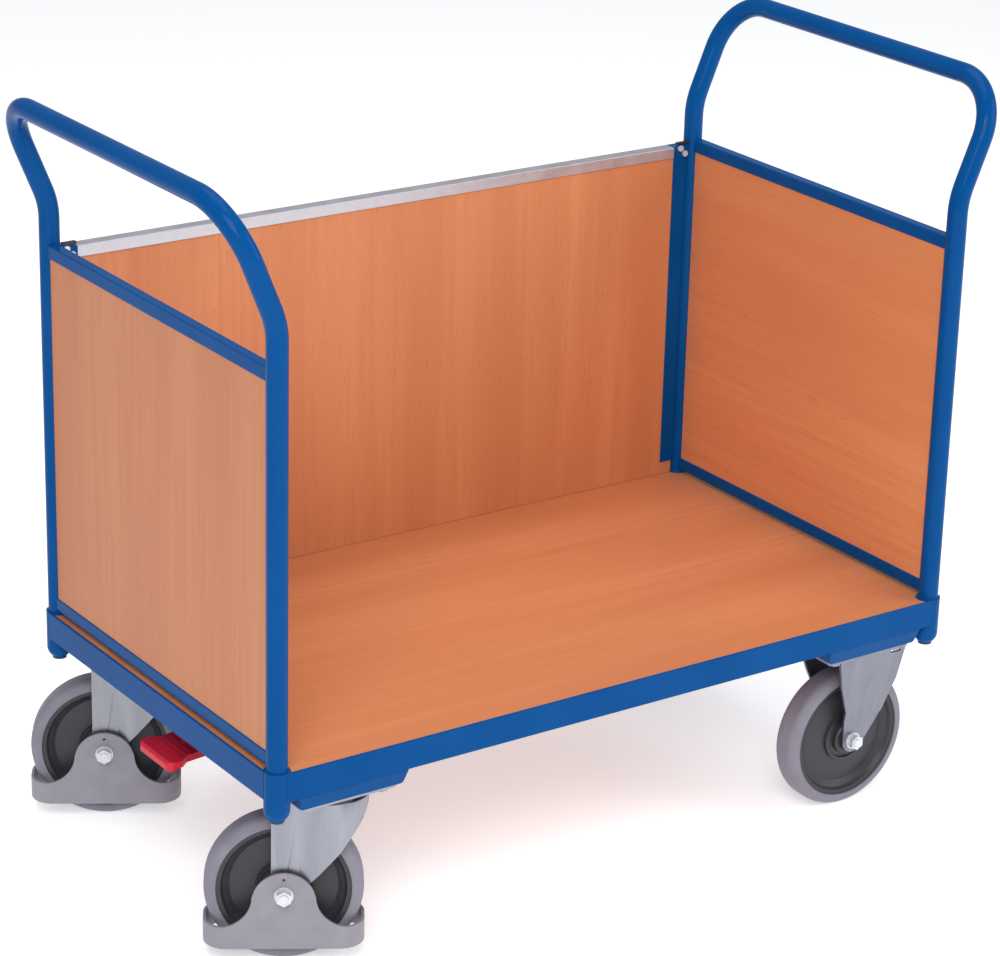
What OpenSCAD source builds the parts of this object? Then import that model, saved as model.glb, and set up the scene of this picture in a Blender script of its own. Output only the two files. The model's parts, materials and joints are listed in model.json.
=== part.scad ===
// Three-walled platform trolley: angle-steel deck frame, two push bows with boarded ends,
// a boarded back wall, two swivel castors with foot guards, two fixed castors and a
// central pedal brake. +X runs to the fixed castors, +Y to the back wall, +Z up.
// The origin is on the floor, under the centre of the whole trolley as it stands.

/* [Platform] */
// Length of the deck frame
base_l = 1065; // [800:5:1300]
// Width of the deck frame
base_w = 600; // [480:5:800]
// Height of the frame rail
rail_h = 38; // [34:1:60]
// Wall of the frame rail
rail_t = 3; // [2:0.5:5]
// Width of the ledge that carries the deck board
ledge_w = 25; // [18:1:40]
// Thickness of the deck board
deck_t = 15; // [10:1:20]
// How far the deck lies below the rail's top edge
deck_sink = 1.5; // [0.5:0.5:4]

/* [Push bows] */
// Outer diameter of the bow tube
tube_d = 26.9; // [22:0.1:34]
// Wall of the bow tube
tube_wall = 2; // [1.5:0.5:4]
// Overall height of the bows above the floor
bow_h = 1021.5; // [950:0.5:1200]
// Height at which the posts turn outward
kink_z = 862; // [840:1:900]
// Lean of the upper part of the bow, in degrees
lean = 22.5; // [10:0.5:30]
// Bend radius where the post turns outward
kink_r = 100; // [60:5:140]
// Bend radius at the ends of the grip
grip_r = 75; // [50:5:120]

/* [Corner sockets] */
// Outer diameter of the corner socket
socket_d = 33; // [33:0.5:42]
// Radial play of the post in its socket
socket_play = 0.15; // [0.05:0.05:0.5]
// How far a socket reaches below the frame
socket_drop = 28; // [22:1:40]

/* [End walls] */
// Thickness of the end boards
end_board_t = 12; // [8:1:15]
// Depth of the cross bars, along the trolley
bar_w = 15; // [14:1:24]
// Height of the cross bars
bar_h = 18; // [14:1:30]
// Wall of the cross bars
bar_t = 1.5; // [1:0.25:2.5]
// Height of the upper bar's top edge
top_bar_z = 810; // [700:5:825]
// Gap between the lower bar and the frame's top edge
low_bar_gap = 4; // [2:1:30]
// How far the boards stand outward of the post axes
wall_shift = 1; // [0:0.5:3]

/* [Back wall] */
// Thickness of the back board
back_board_t = 16; // [10:1:18]
// Height of the capped back wall's top edge
back_top_z = 801; // [700:1:830]
// Height of the cap over the back board
cap_h = 16; // [10:1:30]
// Wall of the cap
cap_t = 1.8; // [1:0.1:3]
// Width of the side channels on the back board
side_w = 23; // [15:1:40]

/* [Castors] */
// Wheel diameter
wheel_d = 200; // [160:5:200]
// Width of the tyre
tyre_w = 40; // [32:1:44]
// Radial thickness of the tyre
tyre_t = 15; // [10:1:22]
// Height from the floor to the castor's mounting face
castor_h = 241; // [236:1:260]
// Distance of the castor pivots from the middle, along the trolley
castor_x = 414; // [320:1:420]
// Distance of the castor pivots from the middle, across the trolley
castor_y = 235; // [180:1:238]
// Trail of the swivel castors
trail = 54; // [40:1:60]
// Turn of the swivel castors away from straight trailing, in degrees
swing = 31; // [0:1:45]
// Length of a castor's mounting plate
plate_l = 140; // [130:1:145]
// Width of a castor's mounting plate
plate_w = 110; // [104:1:115]
// Hole spacing of the plate, along the trolley
hole_x = 105; // [100:1:112]
// Hole spacing of the plate, across the trolley
hole_y = 80; // [76:1:86]
// Diameter of the plate's holes
hole_d = 11; // [10.4:0.2:13]
// Diameter of the wheel axles
axle_d = 12; // [10:1:14]

/* [Castor pads] */
// Width of the pads under the frame that carry the castors
pad_w = 156; // [150:1:180]
// Height of the pads
pad_h = 21; // [16:1:30]
// Wall of the pads
pad_t = 3; // [2:0.5:5]

/* [Brake] */
// Width of the pedal, across the trolley
pedal_w = 84; // [60:1:110]
// Depth of the pedal, along the trolley
pedal_l = 62; // [40:1:80]
// Thickness of the pedal
pedal_t = 12; // [8:1:18]
// Width across flats of the hexagonal brake shaft
hex_af = 11; // [10:0.5:13]

/* [Hidden] */
$fn = 96;
touch = 0.3;          // gap between pieces that lie close without a fit
run_play = 0.05;      // radial running clearance
rail_z0 = castor_h + pad_h;
rail_z1 = rail_z0 + rail_h;
deck_z1 = rail_z1 - deck_sink;
deck_z0 = deck_z1 - deck_t;
half_l = base_l / 2;
half_w = base_w / 2;
tube_r = tube_d / 2;
socket_r = socket_d / 2;
post_x = half_l - socket_r;
post_y = half_w - socket_r;
socket_z0 = rail_z0 - socket_drop;
socket_floor = 9;     // thickness of the socket's closed end
post_z0 = socket_z0 + socket_floor;
drain_d = 16;         // hole in the socket's closed end
rail_overlap = 4;     // a rail stops this far before the socket's axis
grip_z = bow_h - tube_r;
kink_z0 = kink_z - kink_r * tan(lean / 2);
lean_x = post_x + kink_r * (1 - cos(lean));
lean_z = kink_z0 + kink_r * sin(lean);
lean_l = (grip_z - lean_z) / cos(lean);
low_bar_z = rail_z1 + low_bar_gap;
wall_x = post_x + wall_shift;
board_side_gap = 0.5; // between an end board and the post tubes
board_slot_play = 0.6;
back_in_y = post_y - 3.5;
back_out_y = back_in_y + back_board_t;
back_side_x = post_x - tube_r - touch;
clip_w = 20;          // brackets that tie the back wall to the posts
clip_h = 21;
clip_t = 2;
clip_z1 = back_top_z + 6;
clip_bolt_r = 2.5;
clip_dx = 4;
clip_dz = 0.2;

wheel_r = wheel_d / 2;
rim_r = wheel_r - tyre_t;
tyre_round = 12;
hub_half = 23;
bush_r = 13;
spacer_r = 8;
leg_t = 3.5;
leg_in = 26;          // inner face of a fork leg from the wheel's middle
leg_out = leg_in + leg_t;
lead_out = 37;        // outer face of the wider leading half of a swivel fork
plate_t = 4;
plate_z0 = castor_h - plate_t;
crown_t = 6;
race_h = 11;
crown_z1 = plate_z0 - race_h;
crown_z0 = crown_z1 - crown_t;
ball_r = 2.8;
ball_ring_r = 34;
ball_count = 24;
race_boss_r = 40;
race_boss_h = 1;
seal_r = 43;
pin_r = 9;            // kingpin
pin_bore_r = 3;
pin_nut_z0 = crown_z0 - 10;
pin_head_r = 15;
pin_head_h = 3.5;
guard_in = 34;        // inner face of the foot guard from the wheel's middle
guard_t = 4;
guard_out = guard_in + guard_t;
guard_half_l = wheel_r + 1;
guard_z0 = 25;
guard_z1 = 55;
guard_round = 30;
guard_arch_r = 42;
guard_arch_x = 82;
guard_top_r = 40;
guard_boss_r = 14;
washer_r = 12;
washer_t = 2;
nut_r = 10.4;         // across corners of the axle nuts
nut_t = 9;
head_t = 7.5;
plate_bolt_r = 5;
plate_head_r = 9.2;
plate_head_t = 6;
plate_nut_t = 8;
pad_slope = 7;        // how far a pad narrows towards its underside

shaft_z = rail_z0 + 2;
shaft_half_l = castor_y + 27;
hex_r = hex_af / 2 / cos(30);
cam_arm = 12;
cam_tip_r = 4;
cam_rest = 55;        // rest angle of the cam's tip from straight down
cam_hub_r = 9;
cam_w = 12;
cam_web = 6;
plunger_head_r = 12;
plunger_head_t = 4;
plunger_gap = 0.3;
plunger_z1 = shaft_z - cam_arm * cos(cam_rest) - cam_tip_r - plunger_gap;
plunger_foot_r = 9;
plunger_foot_z1 = pin_nut_z0 - 5;
plunger_foot_t = 3;
leaf_t = 2;
leaf_w = 24;
plunger_travel = 3.6;
leaf_z1 = plunger_foot_z1 - plunger_foot_t - plunger_travel - 0.2;
leaf_x0 = -42;
leaf_x1 = 14;
pedal_out_x = half_l - 2;
pedal_z = 203;
arm_t = 10;
arm_slot = 34;
bracket_y = 150;      // bearings of the brake shaft
bracket_w = 10;

// The swung foot guard reaches past the frame at the back, so the deck lies off centre.
guard_reach = castor_y + trail * sin(swing) + (guard_half_l - guard_round) * sin(swing)
    + (guard_out - guard_round) * cos(swing) + guard_round;
deck_mid_y = -(guard_reach - half_w) / 2;

blue = "royalblue";
zinc = "gainsboro";
beech = "burlywood";
dark = "dimgray";

// ---------- helpers ----------

// Moves a piece drawn about the deck's middle to its place over the origin.
module placed() {
    translate([0, deck_mid_y, 0]) children();
}

// Castor frames: +X is the trailing direction, +Y the axle, the pivot is at the middle.
module at_swivel(side) {
    placed() translate([-castor_x, side * castor_y, 0])
        rotate([0, 0, 180 - swing]) children();
}

module at_fixed(side) {
    placed() translate([castor_x, side * castor_y, 0]) children();
}

module at_all_castors() {
    for (end = [-1, 1]) for (side = [-1, 1])
        placed() translate([end * castor_x, side * castor_y, 0]) children();
}

module at_corners() {
    for (end = [-1, 1]) for (side = [-1, 1])
        placed() translate([end * post_x, side * post_y, 0]) children();
}

module tube_section() {
    difference() {
        circle(r = tube_r);
        circle(r = tube_r - tube_wall);
    }
}

// Rectangle with small bevels, from the origin up and to both sides.
module bevel_bar(w, h, c) {
    polygon([[-w / 2 + c, 0], [w / 2 - c, 0], [w / 2, c], [w / 2, h - c],
        [w / 2 - c, h], [-w / 2 + c, h], [-w / 2, h - c], [-w / 2, c]]);
}

// Extrudes a section drawn in X and Z along Y, centred.
module along_y(length) {
    translate([0, length / 2, 0]) rotate([90, 0, 0]) linear_extrude(length) children();
}

// Extrudes a section drawn in Y and Z along X, centred.
module along_x(length) {
    translate([-length / 2, 0, 0]) rotate([90, 0, 90]) linear_extrude(length) children();
}

// Turns a profile of radius and axial place about the Y axis through the wheel's centre.
module about_axle(x = 0) {
    translate([x, 0, wheel_r]) rotate([-90, 0, 0]) rotate_extrude() children();
}

module axle_rod(x, r, y0, y1) {
    translate([x, y0, wheel_r]) rotate([-90, 0, 0]) cylinder(r = r, h = y1 - y0);
}

module axle_hex(x, r, y0, y1) {
    translate([x, y0, wheel_r]) rotate([-90, 0, 0]) rotate([0, 0, 30])
        cylinder(r = r, h = y1 - y0, $fn = 6);
}

// ---------- deck frame ----------

// Rail section: upright web at X = 0 with a ledge inward, drawn in X and Z.
module rail_section() {
    edge = 1;
    polygon([[0, rail_z0 + edge], [edge, rail_z0], [rail_t, rail_z0], [rail_t, deck_z0 - rail_t],
        [ledge_w, deck_z0 - rail_t], [ledge_w, deck_z0], [rail_t, deck_z0],
        [rail_t, rail_z1], [edge, rail_z1], [0, rail_z1 - edge]]);
}

module socket_cuts() {
    for (end = [-1, 1]) for (side = [-1, 1])
        translate([end * post_x, side * post_y, rail_z0 - 1])
            cylinder(r = socket_r, h = rail_h + 2);
}

module long_rail(side) {
    placed() difference() {
        mirror([0, side > 0 ? 1 : 0, 0]) translate([0, -half_w, 0])
            along_x(2 * (post_x - rail_overlap)) rail_section();
        socket_cuts();
    }
}

module end_rail(side) {
    placed() difference() {
        mirror([side > 0 ? 1 : 0, 0, 0]) translate([-half_l, 0, 0])
            along_y(2 * (post_y - rail_overlap)) rail_section();
        socket_cuts();
        // the long rails' ledges take the corners
        for (end = [-1, 1]) scale([1, end, 1])
            translate([rail_t - half_l, half_w - ledge_w - touch, deck_z0 - rail_t - 1])
                cube([2 * (half_l - rail_t), ledge_w + touch, rail_t + 2]);
    }
}

module rail_front() {
    color(blue) long_rail(-1);
}

module rail_back() {
    color(blue) long_rail(1);
}

module rail_left() {
    color(blue) end_rail(-1);
}

module rail_right() {
    color(blue) end_rail(1);
}

module corner_sockets() {
    nose = 14;
    nose_in = 6.5;
    color(blue) at_corners() difference() {
        rotate_extrude() union() {
            translate([0, socket_z0 + nose]) square([socket_r, rail_z1 - socket_z0 - nose]);
            translate([0, socket_z0]) square([socket_r - nose_in, nose]);
            translate([0, socket_z0 + nose]) intersection() {
                circle(r = socket_r);
                translate([0, -nose]) square([socket_r, nose]);
            }
        }
        translate([0, 0, post_z0])
            cylinder(r = tube_r + socket_play, h = rail_z1 - post_z0 + 1);
        translate([0, 0, socket_z0 - 5]) cylinder(d = drain_d, h = socket_floor + 10);
    }
}

module socket_plugs() {
    flange_r = drain_d / 2 + 1.5;
    flange_h = 2.5;
    color("black") at_corners() {
        translate([0, 0, socket_z0 - flange_h]) cylinder(r = flange_r, h = flange_h);
        translate([0, 0, socket_z0 - touch])
            cylinder(r = drain_d / 2 - touch / 2, h = socket_floor + 3);
    }
}

module castor_pad(end) {
    half_top = pad_w / 2;
    half_low = half_top - pad_slope;
    pad_l = 2 * (half_w - 2);
    end_slope = 9;
    color(blue) placed() translate([end * castor_x, 0, 0]) difference() {
        translate([0, 0, castor_h]) intersection() {
            along_y(pad_l) polygon([[-half_low, 0], [half_low, 0], [half_low + 3, 2],
                [half_top, pad_h], [-half_top, pad_h], [-half_low - 3, 2]]);
            along_x(pad_w + 2) polygon([[end_slope - half_w, -1], [half_w - end_slope, -1],
                [pad_l / 2, pad_h - 2], [pad_l / 2, pad_h + 1], [-pad_l / 2, pad_h + 1],
                [-pad_l / 2, pad_h - 2]]);
        }
        translate([0, 0, castor_h + pad_t]) along_y(2 * (half_w - end_slope - pad_t))
            polygon([[-half_low + pad_t, 0], [half_low - pad_t, 0],
                [half_top - pad_t, pad_h - pad_t + 1], [-half_top + pad_t, pad_h - pad_t + 1]]);
        for (side = [-1, 1]) translate([0, side * castor_y, castor_h - 1]) {
            if (end < 0) cylinder(r = pin_head_r + 1, h = pad_t + 2);
            for (i = [-1, 1]) for (j = [-1, 1])
                translate([i * hole_x / 2, j * hole_y / 2, 0]) cylinder(d = hole_d, h = pad_t + 2);
        }
        if (end < 0) translate([-half_top - 1, -arm_slot / 2, castor_h - 1])
            cube([half_top + arm_slot / 2, arm_slot, pad_h + 2]);
    }
}

module castor_pad_left() {
    castor_pad(-1);
}

module castor_pad_right() {
    castor_pad(1);
}

// Flat bars on edge that hold the deck board up between the long rails.
module deck_bearers() {
    bearer_w = 25;
    bearer_h = deck_z0 - rail_t - rail_z0;
    span = 2 * (half_w - rail_t);
    spacing = castor_x / 2;
    color(blue) placed() for (i = [-1:1]) translate([i * spacing, 0, rail_z0]) difference() {
        translate([-bearer_w / 2, -span / 2, 0]) cube([bearer_w, span, bearer_h + rail_t]);
        translate([-bearer_w / 2 - 1, -span / 2 - 1, -1])
            cube([bearer_w - rail_t + 1, span + 2, bearer_h + 1]);
        for (side = [-1, 1])
            translate([-bearer_w, side * (half_w - rail_t - ledge_w / 2) - ledge_w / 2, bearer_h])
                cube([2 * bearer_w, ledge_w, rail_t + 1]);
    }
}

module deck_board() {
    play = 1;
    board_l = base_l - 2 * (rail_t + play);
    board_w = base_w - 2 * (rail_t + play);
    color(beech) placed() difference() {
        translate([-board_l / 2, -board_w / 2, deck_z0]) cube([board_l, board_w, deck_t]);
        for (end = [-1, 1]) for (side = [-1, 1])
            translate([end * post_x, side * post_y, deck_z0 - 1]) {
                cylinder(r = socket_r + play / 2, h = deck_t + 2);
                translate([(end - 1) * socket_r, (side - 1) * socket_r, 0])
                    cube([2 * socket_r, 2 * socket_r, deck_t + 2]);
            }
    }
}

// ---------- push bows and end walls ----------

// One half of a bow: post, kink, leaned tube, corner bend and half of the grip.
module bow_half() {
    flush = 0.1;
    seam = 0.2;
    translate([post_x, 0, kink_z0]) {
        mirror([0, 0, 1]) linear_extrude(kink_z0 - post_z0) tube_section();
        translate([kink_r, 0, 0]) mirror([1, 0, 0]) rotate([90, 0, 0])
            rotate_extrude(angle = lean - seam / kink_r * 180 / PI)
                translate([kink_r, 0]) tube_section();
    }
    translate([lean_x, 0, lean_z]) rotate([0, lean, 0]) {
        // butt weld, dressed almost flush, where the leaned tube meets the bend
        translate([0, 0, -seam * 2]) linear_extrude(seam * 4) difference() {
            circle(r = tube_r + flush);
            circle(r = tube_r - tube_wall - flush);
        }
        translate([0, 0, lean_l - grip_r]) {
            mirror([0, 0, 1]) linear_extrude(lean_l - grip_r - seam) tube_section();
            translate([0, -grip_r, 0]) rotate([90, 0, 90])
                rotate_extrude(angle = 90) translate([grip_r, 0]) tube_section();
            translate([0, -grip_r, grip_r]) rotate([90, 0, 0])
                linear_extrude(post_y - grip_r) tube_section();
        }
    }
}

module push_bow() {
    translate([0, post_y, 0]) bow_half();
    mirror([0, 1, 0]) translate([0, post_y, 0]) bow_half();
}

module push_bow_left() {
    color(blue) placed() mirror([1, 0, 0]) push_bow();
}

module push_bow_right() {
    color(blue) placed() push_bow();
}

// Channel bar between the posts; it opens upward when flip is 1 and downward when -1.
module end_bar(end, z, flip) {
    slot = end_board_t + touch;
    color(blue) placed() difference() {
        translate([end * wall_x, 0, z]) along_y(2 * post_y) difference() {
            bevel_bar(bar_w, bar_h, bar_t * 0.8);
            translate([-slot / 2, flip > 0 ? bar_t : -1]) square([slot, bar_h - bar_t + 1]);
        }
        for (side = [-1, 1]) translate([end * post_x, side * post_y, z - 1])
            cylinder(r = tube_r, h = bar_h + 2);
    }
}

module top_bar_left() {
    end_bar(-1, top_bar_z - bar_h, -1);
}

module top_bar_right() {
    end_bar(1, top_bar_z - bar_h, -1);
}

module low_bar_left() {
    end_bar(-1, low_bar_z, 1);
}

module low_bar_right() {
    end_bar(1, low_bar_z, 1);
}

module end_board(end) {
    z0 = low_bar_z + bar_t;
    z1 = top_bar_z - bar_t - board_slot_play;
    board_w = 2 * (post_y - tube_r - board_side_gap);
    color(beech) placed() translate([end * wall_x - end_board_t / 2, -board_w / 2, z0])
        cube([end_board_t, board_w, z1 - z0]);
}

module end_board_left() {
    end_board(-1);
}

module end_board_right() {
    end_board(1);
}

// ---------- back wall ----------

module back_board() {
    board_l = 2 * (back_side_x - bar_t - board_slot_play);
    color(beech) placed() difference() {
        translate([-board_l / 2, back_in_y, deck_z1 + touch])
            cube([board_l, back_board_t, back_top_z - cap_t - deck_z1 - 2 * touch]);
        for (end = [-1, 1]) translate([end * post_x, post_y, deck_z1])
            cylinder(r = socket_r + touch, h = deck_sink + touch);
    }
}

module back_cap() {
    cap_l = 2 * (back_side_x - side_w - touch);
    wide = back_board_t + 2 * cap_t + 2 * touch / 3;
    color("silver") placed() translate([0, back_in_y + back_board_t / 2, back_top_z - cap_h])
        along_x(cap_l) difference() {
            bevel_bar(wide, cap_h, 0.6);
            translate([-back_board_t / 2 - touch / 3, -1])
                square([back_board_t + 2 * touch / 3, cap_h - cap_t + 1]);
        }
}

module back_channel(end) {
    z0 = rail_z1 + 18;
    z1 = back_top_z;
    wide = back_board_t + 2 * bar_t + touch;
    color(blue) placed() translate([0, back_in_y + back_board_t / 2, z0])
        scale([end, 1, 1]) difference() {
            translate([back_side_x - side_w, -wide / 2, 0]) cube([side_w, wide, z1 - z0]);
            translate([back_side_x - side_w - 1, -(back_board_t + touch) / 2, -1])
                cube([side_w - bar_t + 1, back_board_t + touch, z1 - z0 - bar_t + 1]);
        }
}

module back_channel_left() {
    back_channel(-1);
}

module back_channel_right() {
    back_channel(1);
}

// Face of the side channel that looks into the load space.
clip_y = back_in_y - bar_t - touch / 2;

module clip_frames() {
    for (end = [-1, 1])
        placed() translate([end * (back_side_x - clip_w / 2), clip_y, clip_z1 - clip_h])
            children();
}

module clip_holes(r) {
    for (k = [-1, 1]) translate([k * clip_dx, 1, clip_h * (0.45 - k * clip_dz)])
        rotate([90, 0, 0]) cylinder(r = r, h = 2 * clip_t + 2);
}

module back_clips() {
    color(blue) clip_frames() difference() {
        translate([-clip_w / 2, -clip_t, 0]) cube([clip_w, clip_t, clip_h]);
        clip_holes(clip_bolt_r + 0.2);
    }
}

module back_clip_bolts() {
    head_r = 4.4;
    color(zinc) clip_frames() for (k = [-1, 1])
        translate([k * clip_dx, -clip_t, clip_h * (0.45 - k * clip_dz)]) rotate([90, 0, 0]) {
            cylinder(r = head_r, h = 3);
            translate([0, 0, -clip_t + touch]) cylinder(r = clip_bolt_r, h = clip_t);
        }
}

// Black edge strips that hook over the clips.
module clip_hooks() {
    lip = 2;
    color("black") clip_frames() difference() {
        translate([-clip_w / 2, -clip_t - lip, clip_h - lip])
            cube([clip_w, clip_t + 2 * lip, 2 * lip - 0.5]);
        translate([-clip_w / 2 - 1, -clip_t - 0.1, clip_h - lip - 1])
            cube([clip_w + 2, clip_t + 0.2 + 2 * lip, lip + 1.1]);
    }
}

// ---------- castor plates and fasteners ----------

module plate_blank() {
    corner = 10;
    linear_extrude(plate_t) difference() {
        union() {
            square([plate_l - 2 * corner, plate_w], center = true);
            square([plate_l, plate_w - 2 * corner], center = true);
            for (i = [-1, 1]) for (j = [-1, 1])
                translate([i * (plate_l / 2 - corner), j * (plate_w / 2 - corner)])
                    circle(r = corner);
        }
        for (i = [-1, 1]) for (j = [-1, 1])
            translate([i * hole_x / 2, j * hole_y / 2]) circle(d = hole_d);
    }
}

module swivel_plates() {
    color(zinc) for (side = [-1, 1])
        placed() translate([-castor_x, side * castor_y, 0]) difference() {
            union() {
                translate([0, 0, plate_z0]) plate_blank();
                translate([0, 0, plate_z0 - race_boss_h])
                    cylinder(r = race_boss_r, h = race_boss_h + 1);
            }
            translate([0, 0, plate_z0 - race_boss_h - 1]) cylinder(r = pin_r, h = plate_t + 4);
        }
}

module at_plate_holes() {
    at_all_castors() for (i = [-1, 1]) for (j = [-1, 1])
        translate([i * hole_x / 2, j * hole_y / 2, 0]) children();
}

module plate_bolts() {
    color(zinc) at_plate_holes() {
        translate([0, 0, plate_z0 - plate_head_t])
            cylinder(r = plate_head_r, h = plate_head_t, $fn = 6);
        translate([0, 0, plate_z0 - 1])
            cylinder(r = plate_bolt_r, h = plate_t + pad_t + plate_nut_t + 2);
    }
}

module plate_nuts() {
    color(zinc) at_plate_holes() translate([0, 0, castor_h + pad_t]) difference() {
        cylinder(r = plate_head_r, h = plate_nut_t, $fn = 6);
        translate([0, 0, -1]) cylinder(r = plate_bolt_r, h = plate_nut_t + 2);
    }
}

module kingpins() {
    nut_r2 = 14;
    color(zinc) for (side = [-1, 1])
        placed() translate([-castor_x, side * castor_y, 0]) difference() {
            union() {
                translate([0, 0, castor_h]) cylinder(r = pin_head_r, h = pin_head_h);
                translate([0, 0, pin_nut_z0]) cylinder(r = pin_r, h = castor_h - pin_nut_z0 + 1);
                translate([0, 0, pin_nut_z0])
                    cylinder(r = nut_r2, h = crown_z0 - pin_nut_z0 - touch);
            }
            translate([0, 0, pin_nut_z0 - 1])
                cylinder(r = pin_bore_r + run_play, h = castor_h - pin_nut_z0 + pin_head_h + 2);
        }
}

// ---------- swivel castors ----------

// Plan of the fork housing, shrunk by d; it is round in front and narrows at a crease.
module fork_plan(d, x1) {
    crease_0 = 10;
    crease_1 = 35;
    nose_x = -14;
    w = lead_out - d;
    translate([nose_x, 0]) circle(r = w);
    polygon([[nose_x, w], [crease_0, w], [crease_1, leg_out - d], [x1, leg_out - d],
        [x1, d - leg_out], [crease_1, d - leg_out], [crease_0, -w], [nose_x, -w]]);
}

// Side view of the fork, in X and Z.
module fork_outline() {
    back_x = trail + 16;
    foot_r = 17;
    translate([trail, wheel_r]) circle(r = foot_r);
    polygon([[back_x, wheel_r], [back_x, crown_z1], [-52, crown_z1], [-52, crown_z1 - 9],
        [-44, crown_z1 - 27], [-14, wheel_r + 55], [24, wheel_r + 11],
        [trail - foot_r + 1, wheel_r - 4], [trail, wheel_r]]);
}

module fork(side) {
    back_x = trail + 16;
    color(zinc) at_swivel(side) difference() {
        union() {
            intersection() {
                linear_extrude(crown_z1) difference() {
                    fork_plan(0, back_x);
                    fork_plan(leg_t, back_x + 1);
                }
                along_y(2 * lead_out + 2) fork_outline();
            }
            translate([0, 0, crown_z0]) linear_extrude(crown_t) fork_plan(0, back_x);
        }
        translate([0, 0, crown_z0 - 1]) cylinder(r = pin_r + run_play, h = crown_t + 2);
        axle_rod(trail, axle_d / 2, -lead_out - 1, lead_out + 1);
    }
}

module fork_front() {
    fork(-1);
}

module fork_back() {
    fork(1);
}

module race_seal(side) {
    color("black") at_swivel(side) translate([0, 0, crown_z1 + touch]) difference() {
        cylinder(r = seal_r, h = race_h - 2 * touch);
        translate([0, 0, -1]) cylinder(r = seal_r - 2.5, h = race_h + 2);
    }
}

module race_seal_front() {
    race_seal(-1);
}

module race_seal_back() {
    race_seal(1);
}

module race_balls(side) {
    color("silver") at_swivel(side) for (k = [0 : ball_count - 1])
        rotate([0, 0, k * 360 / ball_count])
            translate([ball_ring_r, 0, crown_z1 + ball_r + 0.2]) sphere(r = ball_r, $fn = 32);
}

module race_balls_front() {
    race_balls(-1);
}

module race_balls_back() {
    race_balls(1);
}

// Spring leaf over the tyre; the brake plunger bends it down onto the tread.
module brake_leaf(side) {
    color("slategray") at_swivel(side) along_y(leaf_w)
        polygon([[leaf_x0, crown_z0], [leaf_x0, leaf_z1 - leaf_t], [leaf_x1, leaf_z1 - leaf_t],
            [leaf_x1, leaf_z1], [leaf_x0 + leaf_t, leaf_z1], [leaf_x0 + leaf_t, crown_z0]]);
}

module brake_leaf_front() {
    brake_leaf(-1);
}

module brake_leaf_back() {
    brake_leaf(1);
}

module guard_plan(d) {
    l = guard_half_l - d;
    w = guard_out - d;
    r = guard_round - d;
    square([2 * (l - r), 2 * w], center = true);
    square([2 * l, 2 * (w - r)], center = true);
    for (i = [-1, 1]) for (j = [-1, 1]) translate([i * (l - r), j * (w - r)]) circle(r = r);
}

// Side view of the guard, in X and Z about the axle's foot: a skirt with an arched web.
module guard_outline() {
    arch_z = guard_z1 + guard_arch_r;
    translate([0, arch_z - 7]) circle(r = guard_top_r);
    translate([-guard_half_l - 1, guard_z0])
        square([2 * guard_half_l + 2, guard_z1 - guard_z0]);
    difference() {
        translate([-guard_arch_x, guard_z0]) square([2 * guard_arch_x, arch_z - guard_z0]);
        for (k = [-1, 1]) translate([k * guard_arch_x, arch_z]) circle(r = guard_arch_r);
    }
}

module foot_guard(side) {
    mark_r = 1.8;
    mark_z = wheel_r + 21;
    color("darkgray") at_swivel(side) difference() {
        union() {
            translate([trail, 0, 0]) intersection() {
                linear_extrude(2 * wheel_r) difference() {
                    guard_plan(0);
                    guard_plan(guard_t);
                }
                along_y(2 * guard_out + 2) guard_outline();
            }
            for (k = [-1, 1]) scale([1, k, 1])
                axle_rod(trail, guard_boss_r, leg_out, guard_in + 1);
        }
        axle_rod(trail, axle_d / 2, -guard_out - 1, guard_out + 1);
        translate([trail, 0, mark_z - wheel_r]) axle_rod(0, mark_r, guard_in - 1, guard_out + 1);
    }
}

module foot_guard_front() {
    foot_guard(-1);
}

module foot_guard_back() {
    foot_guard(1);
}

// Axle bolt with its spacer tube, washers and nut, clamped across faces at +-w.
module axle_set(x, w) {
    axle_rod(x, axle_d / 2, -w - washer_t - 1, w + washer_t + nut_t + 1.5);
    axle_rod(x, washer_r, -w - washer_t, -w);
    axle_hex(x, nut_r, -w - washer_t - head_t, -w - washer_t);
    difference() {
        axle_rod(x, spacer_r, -leg_in, leg_in);
        axle_rod(x, axle_d / 2 + touch / 2, -leg_in - 1, leg_in + 1);
    }
    difference() {
        union() {
            axle_rod(x, washer_r, w, w + washer_t);
            axle_hex(x, nut_r, w + washer_t + touch / 3, w + washer_t + nut_t);
        }
        axle_rod(x, axle_d / 2 + touch / 3, w - 1, w + washer_t + nut_t + 1);
    }
}

module swivel_axle_front() {
    color(zinc) at_swivel(-1) axle_set(trail, guard_out);
}

module swivel_axle_back() {
    color(zinc) at_swivel(1) axle_set(trail, guard_out);
}

// ---------- wheels ----------

// Half section of the rim: hub, bearing seats, dished web and lip.
module rim_section() {
    half = [[bush_r, hub_half], [22, hub_half], [24, 21], [24, 14], [30, 13], [31, 15.5],
        [35, 15.5], [36, 11], [rim_r - 17, 7], [rim_r - 9, 12], [rim_r - 6, 17], [rim_r, 17.5]];
    count = len(half);
    polygon(concat(half, [for (k = [count - 1 : -1 : 0]) [half[k][0], -half[k][1]]]));
}

module tyre_section() {
    half = tyre_w / 2;
    side = half - tyre_round;
    intersection() {
        union() {
            translate([rim_r, -half]) square([wheel_r - tyre_round - rim_r, tyre_w]);
            translate([rim_r, -side]) square([tyre_t, 2 * side]);
            for (k = [-1, 1]) translate([wheel_r - tyre_round, k * side]) circle(r = tyre_round);
        }
        translate([rim_r, -half]) square([tyre_t, tyre_w]);
    }
}

module bush_section() {
    translate([spacer_r + run_play, -hub_half + 1])
        square([bush_r - spacer_r - run_play, 2 * (hub_half - 1)]);
}

module rim_swivel_front() {
    color(dark) at_swivel(-1) about_axle(trail) rim_section();
}

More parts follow.
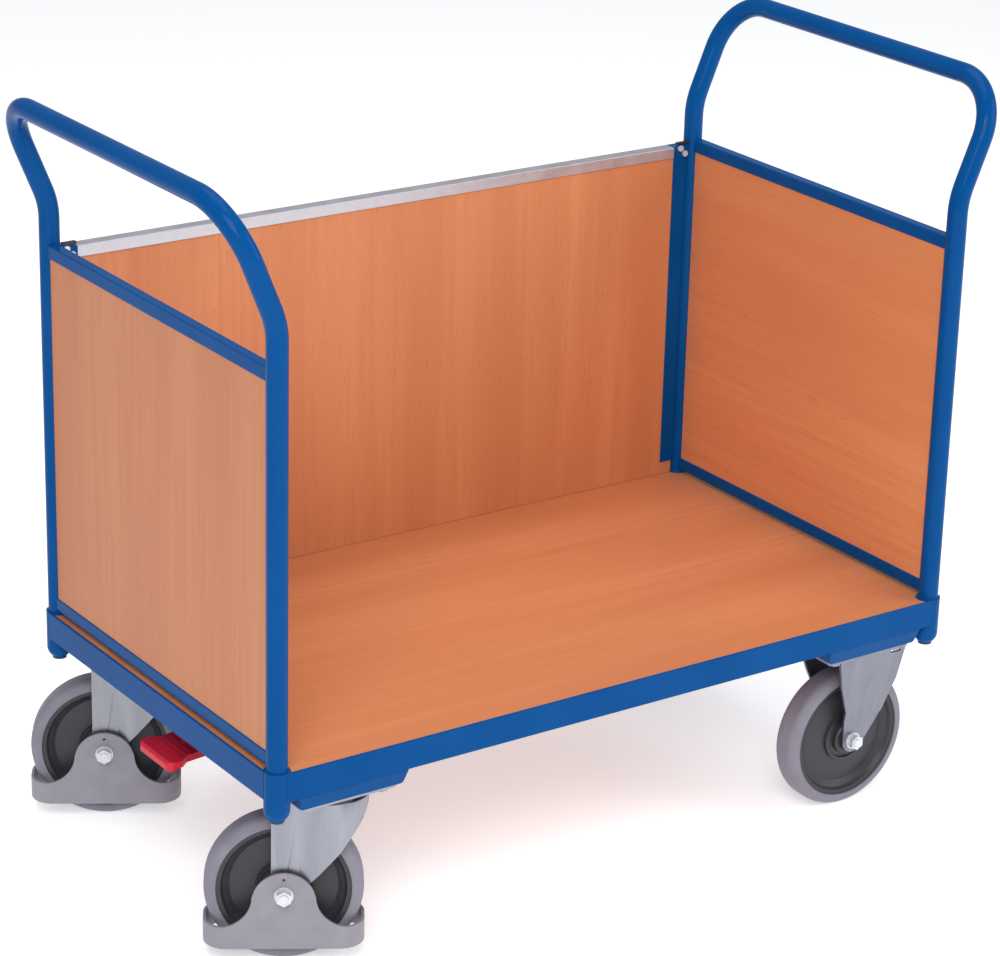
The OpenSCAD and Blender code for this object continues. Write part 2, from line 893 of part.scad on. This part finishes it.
module rim_swivel_back() {
    color(dark) at_swivel(1) about_axle(trail) rim_section();
}

module rim_fixed_front() {
    color(dark) at_fixed(-1) about_axle() rim_section();
}

module rim_fixed_back() {
    color(dark) at_fixed(1) about_axle() rim_section();
}

module tyre_swivel_front() {
    color("gray") at_swivel(-1) about_axle(trail) tyre_section();
}

module tyre_swivel_back() {
    color("gray") at_swivel(1) about_axle(trail) tyre_section();
}

module tyre_fixed_front() {
    color("gray") at_fixed(-1) about_axle() tyre_section();
}

module tyre_fixed_back() {
    color("gray") at_fixed(1) about_axle() tyre_section();
}

module wheel_bushes_swivel_front() {
    color("silver") at_swivel(-1) about_axle(trail) bush_section();
}

module wheel_bushes_swivel_back() {
    color("silver") at_swivel(1) about_axle(trail) bush_section();
}

module wheel_bushes_fixed_front() {
    color("silver") at_fixed(-1) about_axle() bush_section();
}

module wheel_bushes_fixed_back() {
    color("silver") at_fixed(1) about_axle() bush_section();
}

// ---------- fixed castors ----------

module bracket_outline() {
    foot_r = 17;
    translate([0, wheel_r]) circle(r = foot_r);
    polygon([[-foot_r, wheel_r], [-foot_r, wheel_r + 45], [-34, wheel_r + 90],
        [-46, plate_z0], [plate_l / 2, plate_z0], [64, wheel_r + 85], [48, wheel_r + 36],
        [12, wheel_r - 12]]);
}

// Section of one fixed leg in Y and Z: upright at the wheel, then leaning out to the plate.
module bracket_leg() {
    lean_z0 = wheel_r + 32;
    top_y = 47;
    polygon([[leg_in, wheel_r - 20], [leg_out, wheel_r - 20], [leg_out, lean_z0],
        [top_y, plate_z0 - leg_t], [top_y, plate_z0], [0, plate_z0], [0, plate_z0 - leg_t],
        [top_y - leg_t - 1, plate_z0 - leg_t], [leg_in, lean_z0 + 1]]);
}

module fixed_brackets() {
    color(zinc) for (side = [-1, 1]) at_fixed(side) difference() {
        union() {
            translate([0, 0, plate_z0]) plate_blank();
            intersection() {
                along_x(300) union() {
                    bracket_leg();
                    mirror([1, 0, 0]) bracket_leg();
                }
                along_y(200) bracket_outline();
            }
        }
        // pockets that let the bolt heads through the leaning legs
        for (i = [-1, 1]) for (j = [-1, 1])
            translate([i * hole_x / 2, j * hole_y / 2, plate_z0 - plate_head_t - 4])
                cylinder(r = plate_head_r + 1.5, h = plate_head_t + 4);
        axle_rod(0, axle_d / 2, -leg_out - 1, leg_out + 1);
    }
}

module fixed_axles() {
    color(zinc) {
        at_fixed(-1) mirror([0, 1, 0]) axle_set(0, leg_out);
        at_fixed(1) axle_set(0, leg_out);
    }
}

// ---------- central brake ----------

module at_shaft() {
    placed() translate([-castor_x, 0, shaft_z]) children();
}

module shaft_hex(r) {
    rotate([90, 0, 0]) cylinder(r = r, h = 2 * shaft_half_l, center = true, $fn = 6);
}

module brake_shaft() {
    color(zinc) at_shaft() {
        shaft_hex(hex_r);
        for (side = [-1, 1]) translate([0, side * castor_y, 0]) along_y(cam_w) {
            circle(r = cam_hub_r);
            rotate(270 - cam_rest) {
                translate([0, -cam_web / 2]) square([cam_arm, cam_web]);
                translate([cam_arm, 0]) circle(r = cam_tip_r);
            }
        }
    }
}

module shaft_bearings() {
    foot_l = 40;
    color(zinc) for (side = [-1, 1])
        placed() translate([-castor_x, side * bracket_y, 0]) difference() {
            union() {
                translate([-foot_l / 2, -bracket_w, castor_h + pad_t])
                    cube([foot_l, 2 * bracket_w, rail_t]);
                translate([-bracket_w, -bracket_w / 2, castor_h + pad_t])
                    cube([2 * bracket_w, bracket_w, shaft_z - castor_h - pad_t]);
                translate([0, 0, shaft_z]) rotate([90, 0, 0])
                    cylinder(r = bracket_w, h = bracket_w, center = true);
            }
            translate([0, 0, shaft_z]) rotate([90, 0, 0])
                cylinder(r = hex_r + 0.07, h = bracket_w + 2, center = true);
        }
}

// Plan of the tread: a rounded outer lip, then a narrower neck.
module pedal_plan() {
    corner = 12;
    neck = pedal_w / 2 - 8;
    for (side = [-1, 1]) translate([corner, side * (pedal_w / 2 - corner)]) circle(r = corner);
    translate([0, corner - pedal_w / 2]) square([corner, pedal_w - 2 * corner]);
    polygon([[corner, -pedal_w / 2], [corner + 8, -pedal_w / 2], [corner + 18, -neck],
        [pedal_l, -neck], [pedal_l, neck], [corner + 18, neck], [corner + 8, pedal_w / 2],
        [corner, pedal_w / 2]]);
}

// Pedal with its arm, drawn about the deck's middle.
module brake_pedal() {
    in_x = -pedal_out_x + pedal_l;
    hub_r = 11;
    lip = 4;
    color("crimson") placed() difference() {
        union() {
            intersection() {
                along_y(pedal_w) polygon([[-pedal_out_x, pedal_z - lip],
                    [-pedal_out_x + 5, pedal_z - lip - 2], [-pedal_out_x + 12, pedal_z - 2],
                    [in_x, pedal_z + 2], [in_x, pedal_z + pedal_t],
                    [-pedal_out_x + 12, pedal_z + pedal_t - 5],
                    [-pedal_out_x + 3, pedal_z + pedal_t - 4],
                    [-pedal_out_x, pedal_z + pedal_t - 8]]);
                translate([-pedal_out_x, 0, 0]) linear_extrude(2 * pedal_z) pedal_plan();
            }
            along_y(arm_t) polygon([[in_x - 20, pedal_z + 1], [in_x + 6, pedal_z + 6],
                [-castor_x + 4, shaft_z - hub_r + 1], [-castor_x - 4, shaft_z + hub_r - 2],
                [in_x - 20, pedal_z + pedal_t - 2]]);
            translate([-castor_x, 0, shaft_z]) rotate([90, 0, 0])
                cylinder(r = hub_r, h = 2 * arm_t, center = true);
        }
        translate([-castor_x, 0, shaft_z]) shaft_hex(hex_r);
    }
}

module plunger(side) {
    color(zinc) placed() translate([-castor_x, side * castor_y, 0]) {
        translate([0, 0, plunger_foot_z1 - plunger_foot_t])
            cylinder(r = plunger_foot_r, h = plunger_foot_t);
        translate([0, 0, plunger_foot_z1 - 1])
            cylinder(r = pin_bore_r, h = plunger_z1 - plunger_foot_z1);
        translate([0, 0, plunger_z1 - plunger_head_t])
            cylinder(r = plunger_head_r, h = plunger_head_t);
    }
}

module plunger_front() {
    plunger(-1);
}

module plunger_back() {
    plunger(1);
}

rail_front();
rail_back();
rail_left();
rail_right();
corner_sockets();
socket_plugs();
castor_pad_left();
castor_pad_right();
deck_bearers();
deck_board();
push_bow_left();
push_bow_right();
top_bar_left();
top_bar_right();
low_bar_left();
low_bar_right();
end_board_left();
end_board_right();
back_board();
back_cap();
back_channel_left();
back_channel_right();
back_clips();
back_clip_bolts();
clip_hooks();
plate_bolts();
plate_nuts();
swivel_plates();
kingpins();
fork_front();
fork_back();
race_seal_front();
race_seal_back();
race_balls_front();
race_balls_back();
brake_leaf_front();
brake_leaf_back();
foot_guard_front();
foot_guard_back();
swivel_axle_front();
swivel_axle_back();
rim_swivel_front();
rim_swivel_back();
rim_fixed_front();
rim_fixed_back();
tyre_swivel_front();
tyre_swivel_back();
tyre_fixed_front();
tyre_fixed_back();
wheel_bushes_swivel_front();
wheel_bushes_swivel_back();
wheel_bushes_fixed_front();
wheel_bushes_fixed_back();
fixed_brackets();
fixed_axles();
brake_shaft();
shaft_bearings();
brake_pedal();
plunger_front();
plunger_back();
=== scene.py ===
import bmesh
import bpy
import json
import math
from mathutils import Matrix, Vector


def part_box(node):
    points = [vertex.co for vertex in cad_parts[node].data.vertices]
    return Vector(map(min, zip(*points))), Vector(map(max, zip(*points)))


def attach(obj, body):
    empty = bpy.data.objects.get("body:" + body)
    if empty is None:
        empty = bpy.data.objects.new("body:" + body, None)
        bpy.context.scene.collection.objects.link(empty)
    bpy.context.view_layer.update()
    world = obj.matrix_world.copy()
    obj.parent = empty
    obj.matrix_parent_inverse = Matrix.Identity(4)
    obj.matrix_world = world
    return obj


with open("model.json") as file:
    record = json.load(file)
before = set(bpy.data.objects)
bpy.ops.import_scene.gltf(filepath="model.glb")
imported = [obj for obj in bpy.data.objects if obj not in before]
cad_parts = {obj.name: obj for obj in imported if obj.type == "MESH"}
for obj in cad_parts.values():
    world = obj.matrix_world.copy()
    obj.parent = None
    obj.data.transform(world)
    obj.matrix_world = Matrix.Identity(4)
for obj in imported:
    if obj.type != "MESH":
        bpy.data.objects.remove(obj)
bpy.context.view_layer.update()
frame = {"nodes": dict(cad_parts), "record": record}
nodes = frame["nodes"]
mm = 0.001
print("frame loaded:", len(nodes), "parts")


def newGroup(name, inputs, outputs):
    group = bpy.data.node_groups.new(name, "ShaderNodeTree")
    for label, kind, value in inputs:
        socket = group.interface.new_socket(name=label, in_out="INPUT", socket_type=kind)
        if value is not None:
            socket.default_value = value
    for label, kind in outputs:
        group.interface.new_socket(name=label, in_out="OUTPUT", socket_type=kind)
    return group, group.nodes.new("NodeGroupInput"), group.nodes.new("NodeGroupOutput")


def addNoise(tree, vector, scale, detail, roughness=0.5):
    noise = tree.nodes.new("ShaderNodeTexNoise")
    noise.inputs["Scale"].default_value = scale
    noise.inputs["Detail"].default_value = detail
    noise.inputs["Roughness"].default_value = roughness
    tree.links.new(vector, noise.inputs["Vector"])
    return noise


def addRange(tree, value, low, high, newLow=0.0, newHigh=1.0):
    ramp = tree.nodes.new("ShaderNodeMapRange")
    limits = {"From Min": low, "From Max": high, "To Min": newLow, "To Max": newHigh}
    for label, number in limits.items():
        ramp.inputs[label].default_value = number
    tree.links.new(value, ramp.inputs["Value"])
    return ramp.outputs["Result"]


def addMix(tree, factor, first, second):
    mix = tree.nodes.new("ShaderNodeMix")
    mix.data_type = "RGBA"
    tree.links.new(factor, mix.inputs[0])
    for socket, value in ((mix.inputs[6], first), (mix.inputs[7], second)):
        if isinstance(value, bpy.types.NodeSocket):
            tree.links.new(value, socket)
        else:
            socket.default_value = value
    return mix.outputs[2]


def addStretch(tree, vector, scale):
    mapping = tree.nodes.new("ShaderNodeMapping")
    mapping.inputs["Scale"].default_value = scale
    tree.links.new(vector, mapping.inputs["Vector"])
    return mapping.outputs["Vector"]


def buildGrain():
    # beech figure with its length along the first coordinate
    group, entry, leave = newGroup(
        "beechGrain",
        [("Vector", "NodeSocketVector", None),
         ("Pale", "NodeSocketColor", (0.7, 0.3, 0.14, 1)),
         ("Deep", "NodeSocketColor", (0.6, 0.23, 0.1, 1)),
         ("Fleck", "NodeSocketColor", (0.42, 0.15, 0.06, 1))],
        [("Colour", "NodeSocketColor"), ("Height", "NodeSocketFloat")])
    place = entry.outputs["Vector"]
    broad = addNoise(group, addStretch(group, place, (1.1, 11, 11)), 1.0, 3.0)
    streak = addNoise(group, addStretch(group, place, (3, 90, 90)), 1.0, 5.0, 0.6)
    fleck = addNoise(group, addStretch(group, place, (38, 520, 520)), 1.0, 2.0)
    broadMask = addRange(group, broad.outputs["Fac"], 0.35, 0.68)
    streakMask = addRange(group, streak.outputs["Fac"], 0.42, 0.7, 0.0, 0.75)
    fleckMask = addRange(group, fleck.outputs["Fac"], 0.62, 0.78, 0.0, 0.5)
    body = addMix(group, broadMask, entry.outputs["Pale"], entry.outputs["Deep"])
    lined = addMix(group, streakMask, body, entry.outputs["Deep"])
    flecked = addMix(group, fleckMask, lined, entry.outputs["Fleck"])
    group.links.new(flecked, leave.inputs["Colour"])
    group.links.new(streak.outputs["Fac"], leave.inputs["Height"])
    return group


def buildMottle():
    # soft clouds that shift a colour and a gloss a little
    group, entry, leave = newGroup(
        "surfaceMottle",
        [("Vector", "NodeSocketVector", None),
         ("Size", "NodeSocketFloat", 20.0),
         ("First", "NodeSocketColor", (0.5, 0.5, 0.5, 1)),
         ("Second", "NodeSocketColor", (0.5, 0.5, 0.5, 1)),
         ("Smooth", "NodeSocketFloat", 0.3),
         ("Dull", "NodeSocketFloat", 0.4)],
        [("Colour", "NodeSocketColor"), ("Roughness", "NodeSocketFloat"), ("Height", "NodeSocketFloat")])
    cloud = addNoise(group, entry.outputs["Vector"], 5.0, 4.0)
    group.links.new(entry.outputs["Size"], cloud.inputs["Scale"])
    mask = addRange(group, cloud.outputs["Fac"], 0.35, 0.65)
    colour = addMix(group, mask, entry.outputs["First"], entry.outputs["Second"])
    gloss = group.nodes.new("ShaderNodeMapRange")
    group.links.new(mask, gloss.inputs["Value"])
    group.links.new(entry.outputs["Smooth"], gloss.inputs["To Min"])
    group.links.new(entry.outputs["Dull"], gloss.inputs["To Max"])
    fine = addNoise(group, entry.outputs["Vector"], 900.0, 2.0)
    group.links.new(colour, leave.inputs["Colour"])
    group.links.new(gloss.outputs["Result"], leave.inputs["Roughness"])
    group.links.new(fine.outputs["Fac"], leave.inputs["Height"])
    return group


grainGroup = buildGrain()
mottleGroup = buildMottle()


def startMaterial(name):
    material = bpy.data.materials.new(name)
    material.use_nodes = True
    tree = material.node_tree
    shader = tree.nodes["Principled BSDF"]
    coords = tree.nodes.new("ShaderNodeTexCoord")
    return material, tree, shader, coords.outputs["Object"]


def useGroup(tree, group, values):
    node = tree.nodes.new("ShaderNodeGroup")
    node.node_tree = group
    for label, value in values.items():
        if isinstance(value, bpy.types.NodeSocket):
            tree.links.new(value, node.inputs[label])
        else:
            node.inputs[label].default_value = value
    return node


def addBump(tree, shader, height, strength, distance):
    bump = tree.nodes.new("ShaderNodeBump")
    bump.inputs["Strength"].default_value = strength
    bump.inputs["Distance"].default_value = distance
    tree.links.new(height, bump.inputs["Height"])
    tree.links.new(bump.outputs["Normal"], shader.inputs["Normal"])


def boardMaterial(name, turn, shift, tone):
    material, tree, shader, place = startMaterial(name)
    mapping = tree.nodes.new("ShaderNodeMapping")
    mapping.inputs["Rotation"].default_value = turn
    mapping.inputs["Location"].default_value = shift
    tree.links.new(place, mapping.inputs["Vector"])
    colours = {label: tuple(tone * part for part in colour) + (1,)
               for label, colour in beechColours.items()}
    grain = useGroup(tree, grainGroup, {"Vector": mapping.outputs["Vector"], **colours})
    tree.links.new(grain.outputs["Colour"], shader.inputs["Base Color"])
    shader.inputs["Roughness"].default_value = boardFinish["roughness"]
    shader.inputs["Specular IOR Level"].default_value = boardFinish["specular"]
    addBump(tree, shader, grain.outputs["Height"], boardFinish["bump"], boardFinish["depth"])
    return material


def mottledMaterial(name, look):
    material, tree, shader, place = startMaterial(name)
    mottle = useGroup(tree, mottleGroup, {
        "Vector": addStretch(tree, place, look.get("stretch", (1, 1, 1))),
        "Size": look["size"], "First": look["first"], "Second": look["second"],
        "Smooth": look["smooth"], "Dull": look["dull"]})
    tree.links.new(mottle.outputs["Colour"], shader.inputs["Base Color"])
    tree.links.new(mottle.outputs["Roughness"], shader.inputs["Roughness"])
    shader.inputs["Metallic"].default_value = look.get("metal", 0.0)
    shader.inputs["Specular IOR Level"].default_value = look.get("specular", 0.5)
    addBump(tree, shader, mottle.outputs["Height"], look["bump"], mottleDepth)
    return material


quarter = math.pi / 2
mottleDepth = 0.2 * mm
boardFinish = {"roughness": 0.46, "specular": 0.35, "bump": 0.12, "depth": 0.3 * mm}
beechColours = {
    "Pale": (0.62, 0.235, 0.102),
    "Deep": (0.54, 0.185, 0.075),
    "Fleck": (0.36, 0.105, 0.04),
}
# name, turn and shift of the grain, brightness
boardLooks = {
    "deck_board": ("deckBeech", (0, 0, 0), (0.3, 0.2, 0), 0.98),
    "end_board_left": ("leftBeech", (0, quarter, 0), (1.7, 0.6, 0.4), 0.82),
    "end_board_right": ("rightBeech", (0, 0, quarter), (2.9, 0.1, 0.7), 1.08),
    "back_board": ("backBeech", (0, quarter, 0), (4.1, 0.9, 0.2), 1.0),
}
boardMaterials = {node: boardMaterial(*look) for node, look in boardLooks.items()}

finishes = {
    "bluePaint": {"size": 9, "first": (0.001, 0.059, 0.217, 1), "second": (0.002, 0.066, 0.234, 1),
                  "smooth": 0.12, "dull": 0.16, "specular": 0.05, "bump": 0.02},
    "zincSteel": {"size": 7, "first": (0.26, 0.27, 0.305, 1), "second": (0.32, 0.33, 0.37, 1),
                  "smooth": 0.3, "dull": 0.4, "metal": 0.85, "bump": 0.03, "stretch": (6, 6, 1)},
    # a darker copy of zincSteel with the same settings: painted shade on the fixed brackets
    "paintedShadeZinc": {"size": 7, "first": (0.19, 0.2, 0.235, 1), "second": (0.24, 0.25, 0.29, 1),
                  "smooth": 0.3, "dull": 0.4, "metal": 0.85, "bump": 0.03, "stretch": (6, 6, 1)},
    "paleZinc": {"size": 60, "first": (0.56, 0.57, 0.6, 1), "second": (0.64, 0.65, 0.68, 1),
                 "smooth": 0.16, "dull": 0.26, "metal": 0.4, "bump": 0.02},
    "brightSteel": {"size": 80, "first": (0.46, 0.47, 0.5, 1), "second": (0.52, 0.53, 0.56, 1),
                    "smooth": 0.15, "dull": 0.25, "metal": 1.0, "bump": 0.01},
    "satinAluminium": {"size": 50, "first": (0.52, 0.51, 0.55, 1), "second": (0.58, 0.57, 0.61, 1),
                       "smooth": 0.34, "dull": 0.42, "metal": 0.8, "bump": 0.03},
    "greyTread": {"size": 30, "first": (0.17, 0.162, 0.2, 1), "second": (0.2, 0.19, 0.235, 1),
                  "smooth": 0.5, "dull": 0.62, "bump": 0.06},
    "darkRim": {"size": 40, "first": (0.022, 0.021, 0.027, 1), "second": (0.03, 0.028, 0.035, 1),
                "smooth": 0.4, "dull": 0.5, "bump": 0.05},
    "greyGuard": {"size": 35, "first": (0.225, 0.214, 0.248, 1), "second": (0.255, 0.243, 0.278, 1),
                  "smooth": 0.42, "dull": 0.52, "bump": 0.08},
    "blackPlastic": {"size": 30, "first": (0.012, 0.012, 0.014, 1), "second": (0.018, 0.018, 0.02, 1),
                     "smooth": 0.35, "dull": 0.45, "bump": 0.05},
    "redPedal": {"size": 40, "first": (0.5, 0.008, 0.026, 1), "second": (0.56, 0.01, 0.03, 1),
                 "smooth": 0.36, "dull": 0.46, "specular": 0.3, "bump": 0.1},
}
slotFinish = {
    "blue_paint": "bluePaint", "zinc_steel": "zincSteel", "bright_steel": "brightSteel",
    "cap_aluminium": "satinAluminium", "grey_tyre": "greyTread", "rim_plastic": "darkRim",
    "guard_plastic": "greyGuard", "black_plastic": "blackPlastic", "red_plastic": "redPedal",
}
# the fixed brackets take the darker zinc copy, which is painted shade
nodeFinish = {
    "fixed_brackets": "paintedShadeZinc", "swivel_axle_front": "paleZinc", "swivel_axle_back": "paleZinc",
    "fixed_axles": "paleZinc", "back_clip_bolts": "paleZinc",
}
materials = {name: mottledMaterial(name, look) for name, look in finishes.items()}
slotOf = {part["node"]: part["material_slot"] for part in frame["record"]["subparts"]}
for name, node in nodes.items():
    node.data.materials.clear()
    finish = nodeFinish.get(name) or slotFinish.get(slotOf[name])
    node.data.materials.append(boardMaterials.get(name) or materials[finish])
print("materials set")


easing = {
    "wide": {"width": 1.2 * mm, "segments": 3, "parts": [
        "foot_guard_front", "foot_guard_back", "brake_pedal"]},
    "fold": {"width": 0.6 * mm, "segments": 2, "parts": [
        "fork_front", "fork_back", "fixed_brackets"]},
    "fine": {"width": 0.45 * mm, "segments": 2, "parts": [
        "deck_board", "end_board_left", "end_board_right", "back_board", "back_cap",
        "swivel_plates", "plate_bolts", "swivel_axle_front", "swivel_axle_back", "fixed_axles",
        "back_clips", "back_clip_bolts", "back_channel_left", "back_channel_right",
        "top_bar_left", "top_bar_right", "low_bar_left", "low_bar_right", "socket_plugs"]},
}


def easeEdges(node, width, segments):
    weld = node.modifiers.new("weld", "WELD")
    weld.merge_threshold = 2e-6
    bevel = node.modifiers.new("ease", "BEVEL")
    bevel.width = width
    bevel.segments = segments
    bevel.limit_method = "ANGLE"
    bevel.angle_limit = math.radians(32)
    bevel.miter_outer = "MITER_ARC"
    bevel.harden_normals = True


for group in easing.values():
    for part in group["parts"]:
        easeEdges(nodes[part], group["width"], group["segments"])
print("edges eased")


def newPiece(name, mesh, finish, body):
    bmesh.ops.remove_doubles(mesh, verts=mesh.verts, dist=1e-7)
    bmesh.ops.recalc_face_normals(mesh, faces=mesh.faces)
    data = bpy.data.meshes.new(name)
    mesh.to_mesh(data)
    mesh.free()
    data.shade_smooth()
    data.materials.append(materials[finish])
    piece = bpy.data.objects.new(name, data)
    bpy.context.scene.collection.objects.link(piece)
    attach(piece, body)
    return piece


def spinBead(mesh, centre, radius, bead, flat):
    made = bmesh.ops.create_circle(mesh, segments=10, radius=bead)
    ring = made["verts"]
    bmesh.ops.rotate(mesh, verts=ring, cent=(0, 0, 0), matrix=Matrix.Rotation(quarter, 3, "X"))
    bmesh.ops.scale(mesh, verts=ring, vec=(1, 1, flat))
    bmesh.ops.translate(mesh, verts=ring, vec=centre + Vector((radius, 0, 0)))
    edges = list({edge for vert in ring for edge in vert.link_edges})
    bmesh.ops.spin(mesh, geom=ring + edges, cent=centre, axis=(0, 0, 1), angle=2 * math.pi,
                   steps=56, use_merge=True, use_duplicate=False)


# weld bead round each post where it enters its socket
postWelds = {"bead": 1.3 * mm, "flat": 0.75, "radius": 13.9 * mm, "tube": 13.45 * mm}
mesh = bmesh.new()
socketLow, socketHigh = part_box("corner_sockets")
barLow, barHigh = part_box("push_bow_right")
postX = barLow.x + postWelds["tube"]
postYs = (barLow.y + postWelds["tube"], barHigh.y - postWelds["tube"])
for endX in (-postX, postX):
    for sideY in postYs:
        spinBead(mesh, Vector((endX, sideY, socketHigh.z)), postWelds["radius"],
                 postWelds["bead"], postWelds["flat"])
newPiece("postWelds", mesh, "bluePaint", "chassis")
print("weld beads made")

# grip ribs moulded on the pedal
pedalRibs = {"count": 5, "wide": 58 * mm, "deep": 2.2 * mm, "tall": 1.6 * mm,
             "pitch": 8.5 * mm, "first": 13 * mm, "height": 210.3 * mm, "climb": 0.1,
             "ease": 0.5 * mm}
mesh = bmesh.new()
pedalLow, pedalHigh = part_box("brake_pedal")
for index in range(pedalRibs["count"]):
    rib = bmesh.ops.create_cube(mesh, size=1.0)["verts"]
    bmesh.ops.scale(mesh, verts=rib, vec=(pedalRibs["deep"], pedalRibs["wide"], pedalRibs["tall"]))
    run = index * pedalRibs["pitch"]
    bmesh.ops.translate(mesh, verts=rib, vec=(
        pedalLow.x + pedalRibs["first"] + run, (pedalLow.y + pedalHigh.y) / 2,
        pedalRibs["height"] + run * pedalRibs["climb"]))
bmesh.ops.bevel(mesh, geom=mesh.edges[:], offset=pedalRibs["ease"], offset_type="OFFSET",
                segments=2, profile=0.5, affect="EDGES", material=-1)
newPiece("pedalRibs", mesh, "redPedal", "brake")
print("pedal ribs made")


floorSize = 30
lampAim = Vector((0, 0, 0.45))


def stageMaterial():
    material = bpy.data.materials.new("paleFloor")
    material.use_nodes = True
    shader = material.node_tree.nodes["Principled BSDF"]
    shader.inputs["Base Color"].default_value = (0.93, 0.93, 0.94, 1)
    shader.inputs["Roughness"].default_value = 0.9
    shader.inputs["Emission Color"].default_value = (1, 1, 1, 1)
    shader.inputs["Emission Strength"].default_value = 0.42
    return material


mesh = bmesh.new()
bmesh.ops.create_grid(mesh, x_segments=1, y_segments=1, size=floorSize)
floorData = bpy.data.meshes.new("floor")
mesh.to_mesh(floorData)
mesh.free()
floorData.materials.append(stageMaterial())
floor = bpy.data.objects.new("floor", floorData)
bpy.context.scene.collection.objects.link(floor)

world = bpy.data.worlds.new("paleStudio")
bpy.context.scene.world = world
world.use_nodes = True
world.node_tree.nodes["Background"].inputs["Color"].default_value = (0.95, 0.97, 1.0, 1)
world.node_tree.nodes["Background"].inputs["Strength"].default_value = 0.42

lamps = {
    "keyBox": {"place": (-2.6, -3.2, 3.6), "size": 2.6, "power": 172},
    "fillBox": {"place": (3.2, -2.6, 2.2), "size": 2.6, "power": 60},
    "topBox": {"place": (0.2, 0.4, 4.2), "size": 3.0, "power": 66},
}
for name, lamp in lamps.items():
    data = bpy.data.lights.new(name, "AREA")
    data.shape = "SQUARE"
    data.size = lamp["size"]
    data.energy = lamp["power"]
    light = bpy.data.objects.new(name, data)
    light.location = lamp["place"]
    light.rotation_euler = (lampAim - light.location).to_track_quat("-Z", "Y").to_euler()
    bpy.context.scene.collection.objects.link(light)

view = {"focal": 3330.69, "azimuth": 34.85, "drop": 21.08, "roll": 1.53, "distance": 4.44603,
        "target": (0.00873, -0.00018, 0.47233), "width": 1000, "sensor": 36.0}
turn, drop, roll = (math.radians(view[k]) for k in ("azimuth", "drop", "roll"))
ahead = Vector((math.sin(turn) * math.cos(drop), math.cos(turn) * math.cos(drop), -math.sin(drop)))
level = Vector((math.cos(turn), -math.sin(turn), 0))
above = level.cross(ahead)
right = level * math.cos(roll) + above * math.sin(roll)
upward = above * math.cos(roll) - level * math.sin(roll)
cameraData = bpy.data.cameras.new("camera")
cameraData.sensor_fit = "HORIZONTAL"
cameraData.sensor_width = view["sensor"]
cameraData.lens = view["focal"] * view["sensor"] / view["width"]
cameraData.clip_end = 60
camera = bpy.data.objects.new("camera", cameraData)
axes = Matrix((right, upward, -ahead)).transposed().to_4x4()
camera.matrix_world = Matrix.Translation(Vector(view["target"]) - ahead * view["distance"]) @ axes
bpy.context.scene.collection.objects.link(camera)
bpy.context.scene.camera = camera
bpy.context.scene.view_settings.view_transform = "Standard"
print("stage ready")
